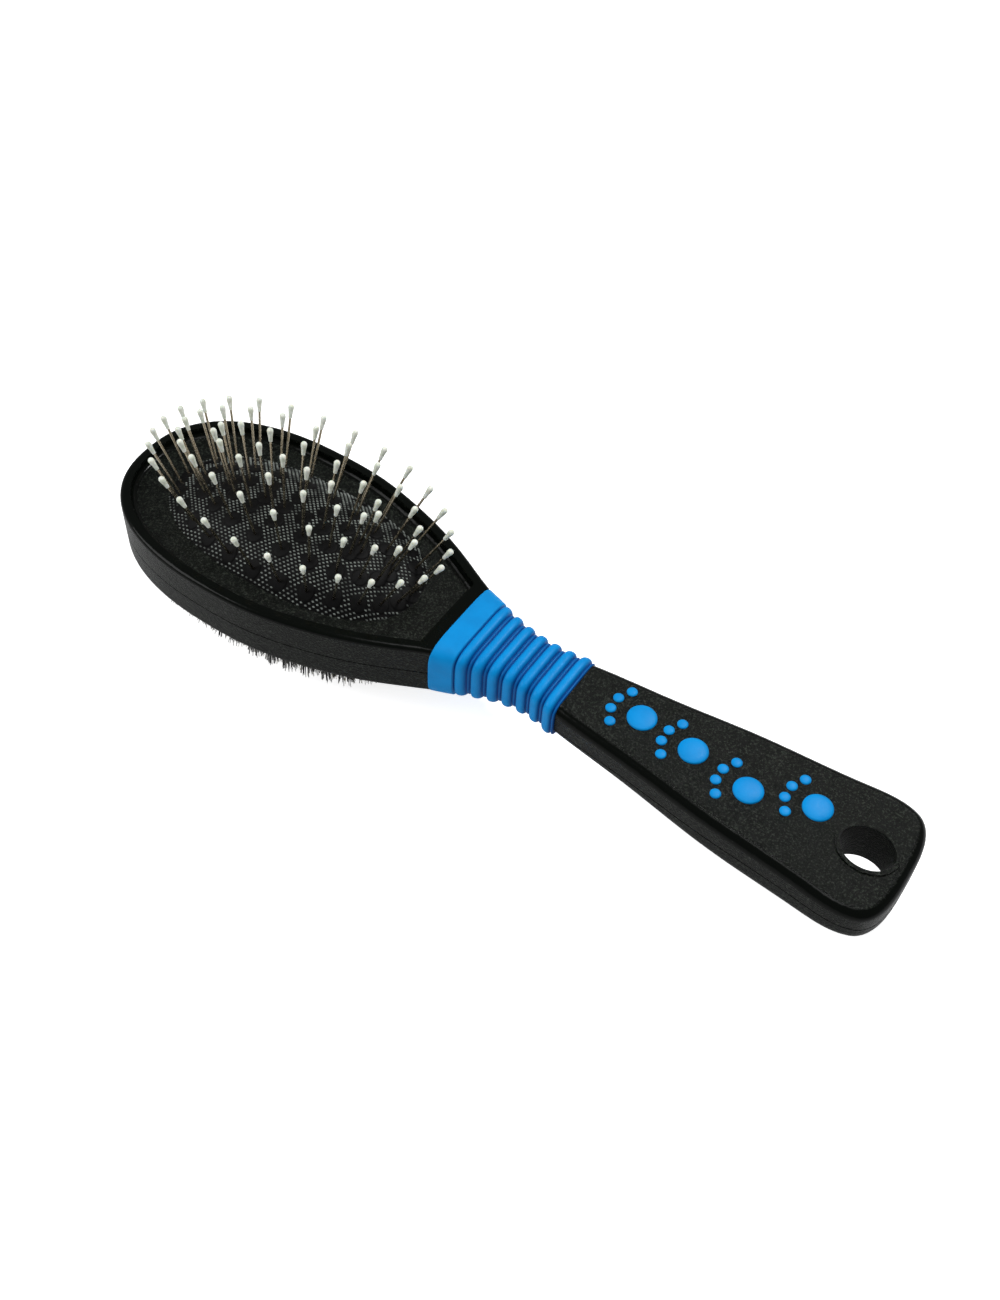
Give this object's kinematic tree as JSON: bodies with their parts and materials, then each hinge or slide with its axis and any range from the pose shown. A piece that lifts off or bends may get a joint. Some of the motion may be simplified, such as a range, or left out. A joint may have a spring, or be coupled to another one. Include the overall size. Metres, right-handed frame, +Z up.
{
  "type": "pin and bristle pet brush",
  "caption": "Oval double-sided pet brush: ball-tipped wire pins on an air cushion above, bristle tufts below, a ribbed rubber sleeve at the neck and a hang hole in the flared handle.",
  "frame": {"origin": "middle of the object's box in plan, at the height of the longest bristle tips it stands on", "axes": "+X along the handle, from the head to the handle's end; +Z up, from the bristles to the pins; the brush is mirror-symmetric about the XZ plane, apart from the set of its pins and its paw prints"},
  "size_m": [0.225, 0.058, 0.0504],
  "materials": {
    "black_shell": "black moulded plastic, polished edges with spark-grained faces",
    "blue_rubber": "satin blue soft-touch rubber",
    "black_rubber": "black rubber with a fine embossed weave",
    "pin_wire": "drawn steel wire, bright",
    "pin_tip": "off-white moulded plastic drops",
    "dark_bristle": "black nylon bristle",
    "cream_bristle": "pale cream nylon bristle",
    "anchor_wire": "flat anchor wire"
  },
  "bodies": {
    "brush_body": {"upper_shell": "black_shell", "lower_shell": "black_shell", "grip_sleeve": "blue_rubber", "paw_print_1": "blue_rubber", "paw_print_2": "blue_rubber", "paw_print_3": "blue_rubber", "paw_print_4": "blue_rubber", "pin_cushion": "black_rubber", "cushion_base": "black_shell", "bristle_plate": "black_shell", "bristle_ring_1": "dark_bristle", "bristle_ring_2": "cream_bristle", "bristle_ring_3": "cream_bristle", "bristle_ring_4": "cream_bristle", "bristle_ring_5": "cream_bristle", "tuft_anchors": "anchor_wire"},
    "pin_bed": {"pin_ring_1": "pin_wire", "pin_ring_2": "pin_wire", "pin_ring_3": "pin_wire", "pin_ring_4": "pin_wire", "pin_tips_1": "pin_tip", "pin_tips_2": "pin_tip", "pin_tips_3": "pin_tip", "pin_tips_4": "pin_tip"}
  },
  "joints": [
    {"name": "cushion_press", "type": "slide", "parent": "brush_body", "child": "pin_bed", "axis": [0, 0, -1], "range_m": [0, 0.0025], "stiffness_N_per_m": 700, "springref_m": -0.0005, "deforming": ["pin_cushion"]}
  ]
}
